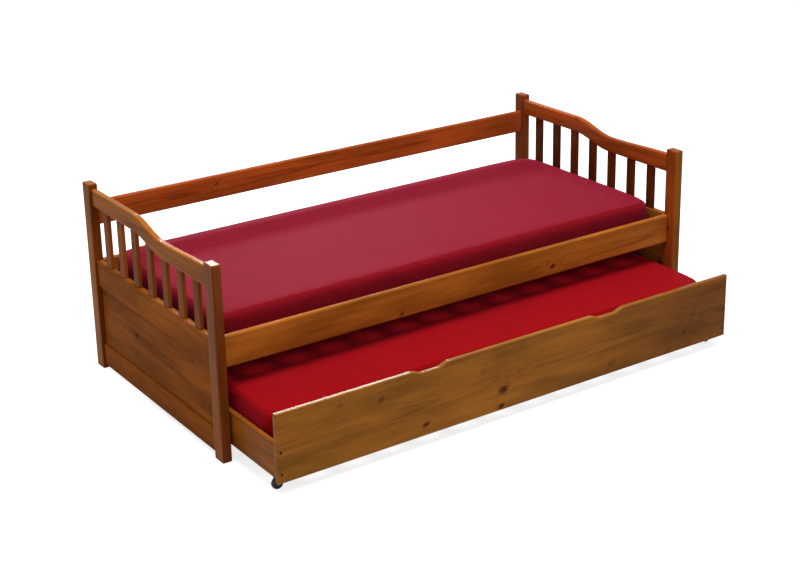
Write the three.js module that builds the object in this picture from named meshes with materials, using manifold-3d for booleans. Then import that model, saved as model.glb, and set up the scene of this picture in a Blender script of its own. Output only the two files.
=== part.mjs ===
// A captains bed in antique-stained pine: a single daybed with two slatted, framed ends, and a
// trundle bed on four castors that rolls out from under its front rail.
// Millimetres, +Z up, X along the bed, the trundle is drawn out towards -Y.
// The origin lies on the floor under the middle of the whole thing with the trundle drawn out.

import * as THREE from 'three';
import { mergeVertices } from 'three/addons/utils/BufferGeometryUtils.js';
import { RoundedBoxGeometry } from 'three/addons/geometries/RoundedBoxGeometry.js';
import Module from 'manifold-3d';

const wasm = await Module();
wasm.setup();

// The whole bed
const LENGTH = 2000;
const WIDTH = 970;
const REAR_HEIGHT = 710;
const FRONT_HEIGHT = 682;
const DRAWN_OUT = 290; // from the bed's front faces to the trundle's front, as drawn out here
const FIT = 0.25; // glue line or running gap between two pieces
const SLACK = 2; // gap that lets a soft or loose piece drop in
const OVERCUT = 1; // how far a cutter reaches past the face that it opens
const BOARD_EASE = 2;
const RAIL_EASE = 3;
const LONG_RAIL_EASE = 5;
const SMALL_EASE = 1;

const HALF_LENGTH = LENGTH / 2;
const HALF_WIDTH = WIDTH / 2;
const BED_MIDDLE = DRAWN_OUT / 2; // the bed's own middle, along Y

// Posts
const POST_X = 35;
const POST_Y = 55;
const POST_CHAMFER = 4;

// Framed ends
const END_RAIL_THICK = 24;
const END_RAIL_INSET = 9; // behind the posts' outer faces
const TOP_RAIL_HIGH = 691; // top of the high stretch, behind
const TOP_RAIL_DIP = 650; // top of the lowest stretch
const TOP_RAIL_FRONT = 661; // top where it meets the front post
const TOP_RAIL_UNDER_HIGH = 629;
const TOP_RAIL_UNDER_LOW = 591;
const TOP_RAIL_SWEEP = 210; // length of the S between the two stretches
const TOP_RAIL_ROUND = 6;
const SWEEP_STEPS = 16;
const RISE_STEPS = 6; // along the low stretch, which climbs a little to the front post
const MID_RAIL = [326, 422];
const BOTTOM_RAIL = [14, 95];
const TENON_LONG = 15;
const TENON_THICK = 12;
const TENON_SHOULDER = 10;
const PANEL_THICK = 9;
const PANEL_INSET = 19;
const PANEL_TONGUE = 7;
const SLATS_PER_END = 7;
const SLAT_WIDE = 39;
const SLAT_THICK = 14;
const SLAT_TENON_LOW = 10;
const SLAT_TENON_HIGH = 16;

// Long rails
const SIDE_RAIL_THICK = 20;
const SIDE_RAIL_INSET = 35; // behind the posts' front or rear faces
const SIDE_RAIL = [312, 424];
const BACK_RAIL_INSET = 25;
const BACK_RAIL = [552, 642];

// Bed base and mattresses
const CLEAT = 20;
const CLEAT_TOP = 348;
const BASE_SLATS = 13;
const BASE_SLAT_WIDE = 80;
const BASE_SLAT_THICK = 16;
const BASE_SPAN = 1800;
const TAPE_WIDE = 30;
const TAPE_THICK = 3;
const TAPE_PLACE = 260; // of each tape, from the middle
const MATTRESS_LENGTH = 1900;
const MATTRESS_WIDTH = 765;
const MATTRESS_THICK = 100;
const MATTRESS_CROWN = 4;
const CORNER_STEPS = 7;
const CROWN_RINGS = 4;

// Trundle
const TRUNDLE_LENGTH = 1924;
const TRUNDLE_DEPTH = 936;
const TRUNDLE_BOARD = 20;
const TRUNDLE_SIDE = 18;
const FRONT_BOARD = [40, 280];
const FRONT_BOARD_ROUND = 4;
const TRUNDLE_SIDES = [50, 172];
const TRUNDLE_CLEAT_TOP = 120;
const SIDE_BOARD_INSET = 5; // behind the front board's ends
const GRIP_CENTRE = 380;
const GRIP_WIDE = 154;
const GRIP_DEEP = 13;
const GRIP_EASE = 46; // length of the slope at each end of a cutout
const GRIP_STEPS = 6;
const BLOCK = 60;
const TRUNDLE_MATTRESS_LENGTH = 1870;

// Castors
const CASTOR_HIGH = 50;
const CASTOR_PIVOT_X = 920;
const CASTOR_PIVOT_BACK = 50; // behind the front board's front, and before the back board's rear
const CASTOR_TRAIL = 18;
const CASTOR_PLAY = 0.35; // running clearance round a pin and between turning faces
const CASTOR_SIDES = 24;
const PLATE_LONG = 52;
const PLATE_WIDE = 42;
const PLATE_THICK = 2.5;
const BOSS_RADIUS = 13;
const BOSS_DEEP = 2;
const PIN_RADIUS = 4;
const PIN_HEAD_RADIUS = 6;
const PIN_HEAD_DEEP = 2;
const CROWN_THICK = 3.5;
const FORK_ARM = 2.5;
const FORK_EYE = 6.7; // radius of the arm's end round the axle
const AXLE_RADIUS = 3;
const AXLE_PROUD = 1.5; // each end of the axle, past its arm
const WHEEL_RADIUS = 20;
const WHEEL_WIDE = 17;
const TREAD_EASE = 3;
const HUB_RADIUS = 6.5;
const HUB_WIDE = 18.4;
const WEB_RADIUS = 14; // out to here the wheel's sides are dished
const WEB_DEEP = 2;

const BED_FRONT = BED_MIDDLE - HALF_WIDTH;
const BED_REAR = BED_MIDDLE + HALF_WIDTH;
const FRONT_POST_Y = BED_FRONT + POST_Y; // the front posts' rear faces
const REAR_POST_Y = BED_REAR - POST_Y; // the rear posts' front faces
const TRUNDLE_FRONT = BED_FRONT - DRAWN_OUT;
const TRUNDLE_REAR = TRUNDLE_FRONT + TRUNDLE_DEPTH;
const TRUNDLE_MIDDLE = (TRUNDLE_FRONT + TRUNDLE_REAR) / 2;
const SIDE_BOARD_OUTER = TRUNDLE_LENGTH / 2 - SIDE_BOARD_INSET;
const SIDE_BOARD_INNER = SIDE_BOARD_OUTER - TRUNDLE_SIDE;

const ALONG_X = new THREE.Matrix4().makeBasis(
  new THREE.Vector3(0, 1, 0), new THREE.Vector3(0, 0, 1), new THREE.Vector3(1, 0, 0));
const ALONG_Y = new THREE.Matrix4().makeBasis(
  new THREE.Vector3(1, 0, 0), new THREE.Vector3(0, 0, 1), new THREE.Vector3(0, -1, 0));

// Finishes
const finish = (color, roughness, metalness = 0) =>
  new THREE.MeshStandardMaterial({ color, roughness, metalness });
const PINE = finish(0x8a4a1c, 0.4);
const RED_PINE = finish(0x7e3416, 0.4);
const PLAIN_PINE = finish(0xb98a55, 0.6);
const RED_COTTON = finish(0xa81c30, 0.9);
const STEEL = finish(0x8c8c90, 0.35, 0.9);
const BLACK_METAL = finish(0x141414, 0.5, 0.4);
const BLACK_RUBBER = finish(0x101010, 0.6);

const bed = new THREE.Group();

// Solids
function solid(geometry) {
  const plain = geometry.clone();
  plain.deleteAttribute('normal');
  plain.deleteAttribute('uv');
  const merged = mergeVertices(plain, 1e-4);
  return new wasm.Manifold(new wasm.Mesh({
    numProp: 3,
    vertProperties: new Float32Array(merged.attributes.position.array),
    triVerts: new Uint32Array(merged.index.array),
  }));
}

function shell(body) {
  const mesh = body.getMesh();
  const geometry = new THREE.BufferGeometry();
  geometry.setAttribute('position', new THREE.BufferAttribute(mesh.vertProperties, 3));
  geometry.setIndex(new THREE.BufferAttribute(mesh.triVerts, 1));
  geometry.computeVertexNormals();
  return geometry;
}

function put(name, shape, material) {
  const geometry = shape.isBufferGeometry ? shape : shell(shape);
  const mesh = new THREE.Mesh(geometry, material);
  mesh.name = name;
  bed.add(mesh);
  return mesh;
}

// A box between two opposite corners, given in any order
function block(...sides) {
  return new THREE.BoxGeometry(...sides.map(span)).translate(...sides.map(middleOf));
}

function easedBlock(radius, ...sides) {
  return new RoundedBoxGeometry(...sides.map(span), 1, radius).translate(...sides.map(middleOf));
}

// A section with its corners cut off, as a sanded board has
function easedSection(width, height, cut) {
  const a = width / 2;
  const b = height / 2;
  return new THREE.Shape([
    [-a + cut, -b], [a - cut, -b], [a, -b + cut], [a, b - cut],
    [a - cut, b], [-a + cut, b], [-a, b - cut], [-a, -b + cut],
  ].map(([u, v]) => new THREE.Vector2(u, v)));
}

const span = ([a, b]) => Math.abs(b - a);
const middleOf = ([a, b]) => (a + b) / 2;
const grow = ([a, b], by) => (a < b ? [a - by, b + by] : [a + by, b - by]);
const ease = (t) => (1 - Math.cos(Math.PI * Math.min(1, Math.max(0, t)))) / 2;

const board = (section, depth) => new THREE.ExtrudeGeometry(section, { depth, bevelEnabled: false });

function boardAlongX(x, y, z, eased = BOARD_EASE) {
  return board(easedSection(span(y), span(z), eased), span(x))
    .applyMatrix4(ALONG_X).translate(Math.min(...x), middleOf(y), middleOf(z));
}

function boardAlongY(x, y, z, eased = BOARD_EASE) {
  return board(easedSection(span(x), span(z), eased), span(y))
    .applyMatrix4(ALONG_Y).translate(middleOf(x), Math.max(...y), middleOf(z));
}

function boardAlongZ(x, y, z, eased = BOARD_EASE) {
  return board(easedSection(span(x), span(y), eased), span(z))
    .translate(middleOf(x), middleOf(y), Math.min(...z));
}

// A board cut to an outline and rounded over along its edges, its thickness along the extrusion
function roundedBoard(outline, thickness, round) {
  const shape = new THREE.Shape(outline.map(([u, v]) => new THREE.Vector2(u, v)));
  return new THREE.ExtrudeGeometry(shape, {
    depth: thickness - 2 * round,
    bevelThickness: round,
    bevelSize: round,
    bevelOffset: -round,
    bevelSegments: 2,
  });
}

// Ends
const outerX = (side, depth) => side * (HALF_LENGTH - depth);
const railX = (side) => [outerX(side, END_RAIL_INSET), outerX(side, END_RAIL_INSET + END_RAIL_THICK)];
const tenonX = (side) => {
  const middle = outerX(side, END_RAIL_INSET + END_RAIL_THICK / 2);
  return [middle - TENON_THICK / 2, middle + TENON_THICK / 2];
};
const panelX = (side) => [outerX(side, PANEL_INSET), outerX(side, PANEL_INSET + PANEL_THICK)];
const slatX = (side) => {
  const middle = outerX(side, END_RAIL_INSET + END_RAIL_THICK / 2);
  return [middle - SLAT_THICK / 2, middle + SLAT_THICK / 2];
};

const SWEEP_REAR = BED_MIDDLE + TOP_RAIL_SWEEP / 2;
const SWEEP_FRONT = BED_MIDDLE - TOP_RAIL_SWEEP / 2;

function topRailTop(y) {
  if (y > SWEEP_FRONT) {
    return TOP_RAIL_HIGH - (TOP_RAIL_HIGH - TOP_RAIL_DIP) * ease((SWEEP_REAR - y) / TOP_RAIL_SWEEP);
  }
  const forward = (SWEEP_FRONT - y) / (SWEEP_FRONT - FRONT_POST_Y);
  return TOP_RAIL_DIP + (TOP_RAIL_FRONT - TOP_RAIL_DIP) * ease(forward);
}

function topRailUnder(y) {
  const drop = TOP_RAIL_UNDER_HIGH - TOP_RAIL_UNDER_LOW;
  return TOP_RAIL_UNDER_HIGH - drop * ease((SWEEP_REAR - y) / TOP_RAIL_SWEEP);
}

const TOP_TENON_REAR = [TOP_RAIL_UNDER_HIGH + TENON_SHOULDER, TOP_RAIL_HIGH - TENON_SHOULDER];
const TOP_TENON_FRONT = [TOP_RAIL_UNDER_LOW + TENON_SHOULDER, TOP_RAIL_FRONT - TENON_SHOULDER];
const MID_TENON = grow(MID_RAIL, -TENON_SHOULDER);
const BOTTOM_TENON = grow(BOTTOM_RAIL, -TENON_SHOULDER);
const REAR_TENON_Y = [REAR_POST_Y - FIT, REAR_POST_Y + TENON_LONG];
const FRONT_TENON_Y = [FRONT_POST_Y - TENON_LONG, FRONT_POST_Y + FIT];
const BETWEEN_POSTS = [FRONT_POST_Y + FIT, REAR_POST_Y - FIT];

function post(side, front) {
  const y = front ? [FRONT_POST_Y - POST_Y, FRONT_POST_Y] : [REAR_POST_Y, REAR_POST_Y + POST_Y];
  const height = front ? FRONT_HEIGHT : REAR_HEIGHT;
  let body = solid(easedBlock(POST_CHAMFER, [outerX(side, 0), outerX(side, POST_X)], y, [0, height]));
  const mortiseY = grow(front ? FRONT_TENON_Y : REAR_TENON_Y, OVERCUT);
  const topTenon = front ? TOP_TENON_FRONT : TOP_TENON_REAR;
  for (const tenon of [topTenon, MID_TENON, BOTTOM_TENON]) {
    body = body.subtract(solid(block(grow(tenonX(side), FIT), mortiseY, grow(tenon, FIT))));
  }
  const grooveY = front
    ? [FRONT_POST_Y - PANEL_TONGUE - FIT, FRONT_POST_Y + OVERCUT]
    : [REAR_POST_Y - OVERCUT, REAR_POST_Y + PANEL_TONGUE + FIT];
  const grooveZ = grow([BOTTOM_RAIL[1], MID_RAIL[0]], PANEL_TONGUE + FIT);
  return body.subtract(solid(block(grow(panelX(side), FIT), grooveY, grooveZ)));
}

function slatMiddle(index) {
  const pitch = (REAR_POST_Y - FRONT_POST_Y + SLAT_WIDE) / (SLATS_PER_END + 1);
  return REAR_POST_Y + SLAT_WIDE / 2 - pitch * index;
}

function slatBox(side, index, gap) {
  const middle = slatMiddle(index);
  return [
    grow(slatX(side), gap),
    grow([middle - SLAT_WIDE / 2, middle + SLAT_WIDE / 2], gap),
    grow([MID_RAIL[1] - SLAT_TENON_LOW, topRailUnder(middle) + SLAT_TENON_HIGH], gap),
  ];
}

const endSlats = Array.from({ length: SLATS_PER_END }, (_, i) => i + 1);

function topRail(side) {
  const outline = [];
  for (let i = 0; i <= SWEEP_STEPS; i++) {
    const y = SWEEP_FRONT + TOP_RAIL_SWEEP * i / SWEEP_STEPS;
    outline.push([y, topRailUnder(y)]);
  }
  outline.push([BETWEEN_POSTS[1], TOP_RAIL_UNDER_HIGH], [BETWEEN_POSTS[1], TOP_RAIL_HIGH]);
  for (let i = 0; i <= SWEEP_STEPS; i++) {
    const y = SWEEP_REAR - TOP_RAIL_SWEEP * i / SWEEP_STEPS;
    outline.push([y, topRailTop(y)]);
  }
  for (let i = 1; i <= RISE_STEPS; i++) {
    const y = SWEEP_FRONT + (BETWEEN_POSTS[0] - SWEEP_FRONT) * i / RISE_STEPS;
    outline.push([y, topRailTop(y)]);
  }
  outline.push([BETWEEN_POSTS[0], TOP_RAIL_UNDER_LOW]);
  const blank = roundedBoard(outline, END_RAIL_THICK, TOP_RAIL_ROUND);
  const start = Math.min(...railX(side)) + TOP_RAIL_ROUND;
  let body = solid(blank.applyMatrix4(ALONG_X).translate(start, 0, 0));
  const reach = grow(BETWEEN_POSTS, -TOP_RAIL_ROUND - OVERCUT);
  body = body.add(solid(block(tenonX(side), [reach[1], REAR_TENON_Y[1]], TOP_TENON_REAR)));
  body = body.add(solid(block(tenonX(side), [FRONT_TENON_Y[0], reach[0]], TOP_TENON_FRONT)));
  for (const index of endSlats) {
    body = body.subtract(solid(block(...slatBox(side, index, FIT))));
  }
  return body;
}

function levelRail(side, z, tenon, grooveZ) {
  let body = solid(boardAlongY(railX(side), BETWEEN_POSTS, z, RAIL_EASE));
  body = body.add(solid(block(tenonX(side), [FRONT_TENON_Y[0], REAR_TENON_Y[1]], tenon)));
  const grooveY = grow(BETWEEN_POSTS, TENON_LONG + OVERCUT);
  return body.subtract(solid(block(grow(panelX(side), FIT), grooveY, grooveZ)));
}

function midRail(side) {
  const groove = [MID_RAIL[0] - OVERCUT, MID_RAIL[0] + PANEL_TONGUE + FIT];
  let body = levelRail(side, MID_RAIL, MID_TENON, groove);
  for (const index of endSlats) {
    body = body.subtract(solid(block(...slatBox(side, index, FIT))));
  }
  return body;
}

function bottomRail(side) {
  const groove = [BOTTOM_RAIL[1] - PANEL_TONGUE - FIT, BOTTOM_RAIL[1] + OVERCUT];
  return levelRail(side, BOTTOM_RAIL, BOTTOM_TENON, groove);
}

function endPanel(side) {
  const y = grow([FRONT_POST_Y, REAR_POST_Y], PANEL_TONGUE);
  return block(panelX(side), y, [BOTTOM_RAIL[1] - PANEL_TONGUE, MID_RAIL[0] + PANEL_TONGUE]);
}

for (const [place, side] of [['left', -1], ['right', 1]]) {
  put(`${place}_rear_post`, post(side, false), PINE);
  put(`${place}_front_post`, post(side, true), PINE);
  put(`${place}_top_rail`, topRail(side), PINE);
  put(`${place}_mid_rail`, midRail(side), PINE);
  put(`${place}_bottom_rail`, bottomRail(side), RED_PINE);
  put(`${place}_panel`, endPanel(side), PINE);
  for (const index of endSlats) {
    put(`${place}_slat_${index}`, boardAlongZ(...slatBox(side, index, 0)), PINE);
  }
}

// Long rails between the ends
const BETWEEN_ENDS = [-HALF_LENGTH + POST_X + FIT, HALF_LENGTH - POST_X - FIT];
const frontRailY = [BED_FRONT + SIDE_RAIL_INSET, BED_FRONT + SIDE_RAIL_INSET + SIDE_RAIL_THICK];
const rearRailY = [BED_REAR - SIDE_RAIL_INSET - SIDE_RAIL_THICK, BED_REAR - SIDE_RAIL_INSET];
const backRailY = [BED_REAR - BACK_RAIL_INSET - SIDE_RAIL_THICK, BED_REAR - BACK_RAIL_INSET];
put('front_side_rail', boardAlongX(BETWEEN_ENDS, frontRailY, SIDE_RAIL, LONG_RAIL_EASE), PINE);
put('rear_side_rail', boardAlongX(BETWEEN_ENDS, rearRailY, SIDE_RAIL, LONG_RAIL_EASE), PINE);
put('back_rail', boardAlongX(BETWEEN_ENDS, backRailY, BACK_RAIL, LONG_RAIL_EASE), RED_PINE);

// Bed base: two cleats and a run of slats held apart by two tapes
const cleatX = [-BASE_SPAN / 2, BASE_SPAN / 2];
const cleatZ = [CLEAT_TOP - CLEAT, CLEAT_TOP];
const frontCleatY = [frontRailY[1] + FIT, frontRailY[1] + FIT + CLEAT];
const rearCleatY = [rearRailY[0] - FIT - CLEAT, rearRailY[0] - FIT];
put('front_cleat', boardAlongX(cleatX, frontCleatY, cleatZ, SMALL_EASE), PLAIN_PINE);
put('rear_cleat', boardAlongX(cleatX, rearCleatY, cleatZ, SMALL_EASE), PLAIN_PINE);

function slatBase(y, bottom) {
  const top = bottom + BASE_SLAT_THICK;
  const pitch = (BASE_SPAN - BASE_SLAT_WIDE) / (BASE_SLATS - 1);
  const middle = middleOf(y);
  let body = null;
  for (let i = 0; i < BASE_SLATS; i++) {
    const x = -BASE_SPAN / 2 + BASE_SLAT_WIDE / 2 + pitch * i;
    const slat = solid(block([x - BASE_SLAT_WIDE / 2, x + BASE_SLAT_WIDE / 2], y, [bottom, top]));
    body = body ? body.add(slat) : slat;
  }
  for (const place of [-TAPE_PLACE, TAPE_PLACE]) {
    const tapeY = [middle + place - TAPE_WIDE / 2, middle + place + TAPE_WIDE / 2];
    const reach = BASE_SPAN / 2 - BASE_SLAT_WIDE / 4;
    body = body.add(solid(block([-reach, reach], tapeY, [top - TAPE_THICK, top])));
  }
  return body;
}

const bedBaseY = [frontRailY[1] + SLACK, rearRailY[0] - SLACK];
put('bed_slat_base', slatBase(bedBaseY, CLEAT_TOP + FIT), PLAIN_PINE);

// A foam mattress: flat underneath, upright sides, a narrow soft edge and a slightly crowned top
const MATTRESS_PROFILE = [
  // height as a share of the thickness, inset of the outline, corner radius
  [0, 8, 80],
  [0.1, 2, 86],
  [0.35, 0, 90],
  [0.7, 1, 92],
  [0.86, 5, 96],
  [0.95, 13, 102],
  [0.985, 23, 108],
  [1, 40, 114],
];

function roundedOutline(halfX, halfY, radius) {
  const points = [];
  const corners = [[1, 1, 0], [-1, 1, 1], [-1, -1, 2], [1, -1, 3]];
  for (const [sx, sy, quarter] of corners) {
    for (let i = 0; i <= CORNER_STEPS; i++) {
      const angle = (quarter + i / CORNER_STEPS) * Math.PI / 2;
      points.push([
        sx * (halfX - radius) + radius * Math.cos(angle),
        sy * (halfY - radius) + radius * Math.sin(angle),
      ]);
    }
  }
  return points;
}

function mattress(length, middleY, bottom) {
  const rings = MATTRESS_PROFILE.map(([share, inset, radius]) =>
    roundedOutline(length / 2 - inset, MATTRESS_WIDTH / 2 - inset, radius)
      .map(([x, y]) => [x, y + middleY, bottom + share * MATTRESS_THICK]));
  const edge = rings[rings.length - 1];
  for (let i = 1; i < CROWN_RINGS; i++) {
    const t = i / CROWN_RINGS;
    const rise = MATTRESS_CROWN * ease(t);
    rings.push(edge.map(([x, y, z]) => [x * (1 - t), middleY + (y - middleY) * (1 - t), z + rise]));
  }
  const count = edge.length;
  const vertices = rings.flat(2);
  const topPole = rings.length * count;
  vertices.push(0, middleY, bottom + MATTRESS_THICK + MATTRESS_CROWN);
  vertices.push(0, middleY, bottom);
  const faces = [];
  for (let r = 0; r + 1 < rings.length; r++) {
    for (let i = 0; i < count; i++) {
      const j = (i + 1) % count;
      const a = r * count + i;
      const b = r * count + j;
      faces.push(a, b, b + count, a, b + count, a + count);
    }
  }
  const last = (rings.length - 1) * count;
  for (let i = 0; i < count; i++) {
    const j = (i + 1) % count;
    faces.push(last + i, last + j, topPole);
    faces.push(j, i, topPole + 1);
  }
  const geometry = new THREE.BufferGeometry();
  geometry.setAttribute('position', new THREE.Float32BufferAttribute(vertices, 3));
  geometry.setIndex(faces);
  geometry.computeVertexNormals();
  return geometry;
}

const bedMattressBottom = CLEAT_TOP + BASE_SLAT_THICK + 2 * FIT;
put('bed_mattress', mattress(MATTRESS_LENGTH, BED_MIDDLE, bedMattressBottom), RED_COTTON);

// Trundle box
function gripEdge() {
  const top = FRONT_BOARD[1];
  const half = GRIP_WIDE / 2;
  const points = [];
  for (const centre of [GRIP_CENTRE, -GRIP_CENTRE]) {
    for (let i = 0; i <= GRIP_STEPS; i++) {
      const t = i / GRIP_STEPS;
      points.push([centre + half - GRIP_EASE * t, top - GRIP_DEEP * ease(t)]);
    }
    for (let i = 0; i <= GRIP_STEPS; i++) {
      const t = i / GRIP_STEPS;
      points.push([centre - half + GRIP_EASE * (1 - t), top - GRIP_DEEP * (1 - ease(t))]);
    }
  }
  return points;
}

function trundleFront() {
  const half = TRUNDLE_LENGTH / 2;
  const [low, top] = FRONT_BOARD;
  const outline = [[-half, low], [half, low], [half, top], ...gripEdge(), [-half, top]];
  return roundedBoard(outline, TRUNDLE_BOARD, FRONT_BOARD_ROUND)
    .applyMatrix4(ALONG_Y).translate(0, TRUNDLE_FRONT + TRUNDLE_BOARD - FRONT_BOARD_ROUND, 0);
}

const [innerFront, innerRear] = [TRUNDLE_FRONT + TRUNDLE_BOARD + FIT, TRUNDLE_REAR - TRUNDLE_BOARD - FIT];
const backBoardX = [-SIDE_BOARD_OUTER, SIDE_BOARD_OUTER];
const backBoardY = [TRUNDLE_REAR - TRUNDLE_BOARD, TRUNDLE_REAR];
put('trundle_front_board', solid(trundleFront()), PINE);
put('trundle_back_board', boardAlongX(backBoardX, backBoardY, TRUNDLE_SIDES), PINE);

const blockZ = [TRUNDLE_SIDES[0], TRUNDLE_CLEAT_TOP];
const blockY = { front: [innerFront, innerFront + BLOCK], rear: [innerRear - BLOCK, innerRear] };
for (const [place, side] of [['left', -1], ['right', 1]]) {
  const x = [side * SIDE_BOARD_INNER, side * SIDE_BOARD_OUTER];
  put(`trundle_${place}_board`, boardAlongY(x, [innerFront, innerRear], TRUNDLE_SIDES), PINE);
  const blockX = [side * (SIDE_BOARD_INNER - FIT), side * (SIDE_BOARD_INNER - FIT - BLOCK)];
  for (const [end, y] of Object.entries(blockY)) {
    put(`trundle_block_${end}_${place}`, boardAlongZ(blockX, y, blockZ, SMALL_EASE), PLAIN_PINE);
  }
}

const trundleCleatEnd = SIDE_BOARD_INNER - BLOCK - 2 * SLACK;
const trundleCleatX = [-trundleCleatEnd, trundleCleatEnd];
const trundleCleatZ = [TRUNDLE_CLEAT_TOP - CLEAT, TRUNDLE_CLEAT_TOP];
const trundleCleatY = { front: [innerFront, innerFront + CLEAT], rear: [innerRear - CLEAT, innerRear] };
for (const [end, y] of Object.entries(trundleCleatY)) {
  put(`trundle_${end}_cleat`, boardAlongX(trundleCleatX, y, trundleCleatZ, SMALL_EASE), PLAIN_PINE);
}
const trundleBaseY = [innerFront + SLACK, innerRear - SLACK];
put('trundle_slat_base', slatBase(trundleBaseY, TRUNDLE_CLEAT_TOP + FIT), PLAIN_PINE);
const trundleMattressBottom = TRUNDLE_CLEAT_TOP + BASE_SLAT_THICK + 2 * FIT;
const trundleMattress = mattress(TRUNDLE_MATTRESS_LENGTH, TRUNDLE_MIDDLE, trundleMattressBottom);
put('trundle_mattress', trundleMattress, RED_COTTON);

// Castors: a plate with a kingpin, a fork that turns on it, and a wheel on the fork's axle
const PLATE_TOP = CASTOR_HIGH - FIT;
const PLATE_UNDER = PLATE_TOP - PLATE_THICK;
const CROWN_TOP = PLATE_UNDER - BOSS_DEEP - CASTOR_PLAY;
const CROWN_UNDER = CROWN_TOP - CROWN_THICK;
const PIN_HEAD_TOP = CROWN_UNDER - CASTOR_PLAY;
const FORK_INNER = HUB_WIDE / 2 + CASTOR_PLAY;
const FORK_OUTER = FORK_INNER + FORK_ARM;
const EYE_START = Math.PI * 1.15; // where the arm's round end begins, an angle in its side view

function disc(radius, z) {
  const cylinder = new THREE.CylinderGeometry(radius, radius, span(z), CASTOR_SIDES);
  return cylinder.rotateX(Math.PI / 2).translate(0, 0, middleOf(z));
}

function castorPlate() {
  const x = [-PLATE_LONG / 2, PLATE_LONG / 2];
  const y = [-PLATE_WIDE / 2, PLATE_WIDE / 2];
  const insidePlate = PLATE_TOP - PLATE_THICK / 2;
  const plate = solid(easedBlock(SMALL_EASE, x, y, [PLATE_UNDER, PLATE_TOP]));
  const boss = solid(disc(BOSS_RADIUS, [PLATE_UNDER - BOSS_DEEP, insidePlate]));
  const pin = solid(disc(PIN_RADIUS, [PIN_HEAD_TOP - PIN_HEAD_DEEP / 2, insidePlate]));
  const head = solid(disc(PIN_HEAD_RADIUS, [PIN_HEAD_TOP - PIN_HEAD_DEEP, PIN_HEAD_TOP]));
  return shell(plate.add(boss).add(pin).add(head));
}

// Fork, with the wheel trailing towards +X of its own frame
function castorFork() {
  const arm = new THREE.Shape();
  arm.moveTo(-BOSS_RADIUS, CROWN_TOP);
  arm.lineTo(-BOSS_RADIUS, CROWN_UNDER);
  arm.absarc(CASTOR_TRAIL, WHEEL_RADIUS, FORK_EYE, EYE_START, 2 * Math.PI, false);
  arm.lineTo(CASTOR_TRAIL + FORK_EYE, CROWN_UNDER - CROWN_THICK);
  arm.lineTo(CASTOR_TRAIL, CROWN_TOP);
  const side = new THREE.ExtrudeGeometry(arm, { depth: FORK_ARM, bevelEnabled: false, curveSegments: 6 });
  side.rotateX(Math.PI / 2);
  const near = solid(side.clone().translate(0, -FORK_INNER, 0));
  const far = solid(side.clone().translate(0, FORK_OUTER, 0));
  const crownX = [-BOSS_RADIUS, CASTOR_TRAIL];
  const crown = solid(block(crownX, [-FORK_OUTER, FORK_OUTER], [CROWN_UNDER, CROWN_TOP]));
  const axleLong = 2 * (FORK_OUTER + AXLE_PROUD);
  const axle = new THREE.CylinderGeometry(AXLE_RADIUS, AXLE_RADIUS, axleLong, CASTOR_SIDES);
  const placed = solid(axle.translate(CASTOR_TRAIL, 0, WHEEL_RADIUS));
  const bore = solid(disc(PIN_RADIUS + CASTOR_PLAY, grow([CROWN_UNDER, CROWN_TOP], OVERCUT)));
  return shell(near.add(far).add(crown).add(placed).subtract(bore));
}

// Half of the wheel's section from its middle plane outwards, as radius and height
function wheelSide() {
  const half = WHEEL_WIDE / 2;
  const slope = WEB_DEEP / 3;
  return [
    [WHEEL_RADIUS, WEB_DEEP],
    [WHEEL_RADIUS - TREAD_EASE / 4, half - TREAD_EASE],
    [WHEEL_RADIUS - TREAD_EASE, half],
    [WEB_RADIUS + slope, half],
    [WEB_RADIUS, half - WEB_DEEP],
    [HUB_RADIUS + slope, half - WEB_DEEP],
    [HUB_RADIUS, HUB_WIDE / 2],
    [AXLE_RADIUS + CASTOR_PLAY, HUB_WIDE / 2],
  ];
}

function castorWheel() {
  const near = wheelSide().map(([radius, height]) => [radius, -height]).reverse();
  const ring = [...near, ...wheelSide(), near[0]];
  const profile = ring.map(([radius, height]) => new THREE.Vector2(radius, height));
  const wheel = new THREE.LatheGeometry(profile, CASTOR_SIDES);
  return shell(solid(wheel.translate(CASTOR_TRAIL, 0, WHEEL_RADIUS)));
}

// Each castor as it stands after the trundle has been drawn out and settled
const CASTORS = [
  { name: 'front_left', x: -1, y: TRUNDLE_FRONT + CASTOR_PIVOT_BACK, turn: 180 },
  { name: 'front_right', x: 1, y: TRUNDLE_FRONT + CASTOR_PIVOT_BACK, turn: 60 },
  { name: 'rear_left', x: -1, y: TRUNDLE_REAR - CASTOR_PIVOT_BACK, turn: 100 },
  { name: 'rear_right', x: 1, y: TRUNDLE_REAR - CASTOR_PIVOT_BACK, turn: 80 },
];
for (const castor of CASTORS) {
  const pivot = new THREE.Group();
  pivot.position.set(castor.x * CASTOR_PIVOT_X, castor.y, 0);
  const swivel = new THREE.Group();
  swivel.rotation.z = THREE.MathUtils.degToRad(castor.turn);
  bed.add(pivot);
  pivot.add(swivel);
  pivot.add(put(`castor_plate_${castor.name}`, castorPlate(), STEEL));
  swivel.add(put(`castor_fork_${castor.name}`, castorFork(), BLACK_METAL));
  swivel.add(put(`castor_wheel_${castor.name}`, castorWheel(), BLACK_RUBBER));
}

export default bed;
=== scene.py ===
# The looks of a captains bed with a trundle, laid out as an add-on and run as a script.
# Metres, +Z up, X along the bed, the trundle drawn out towards -Y.

import math

import bpy
from mathutils import Matrix, Vector, noise


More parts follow.
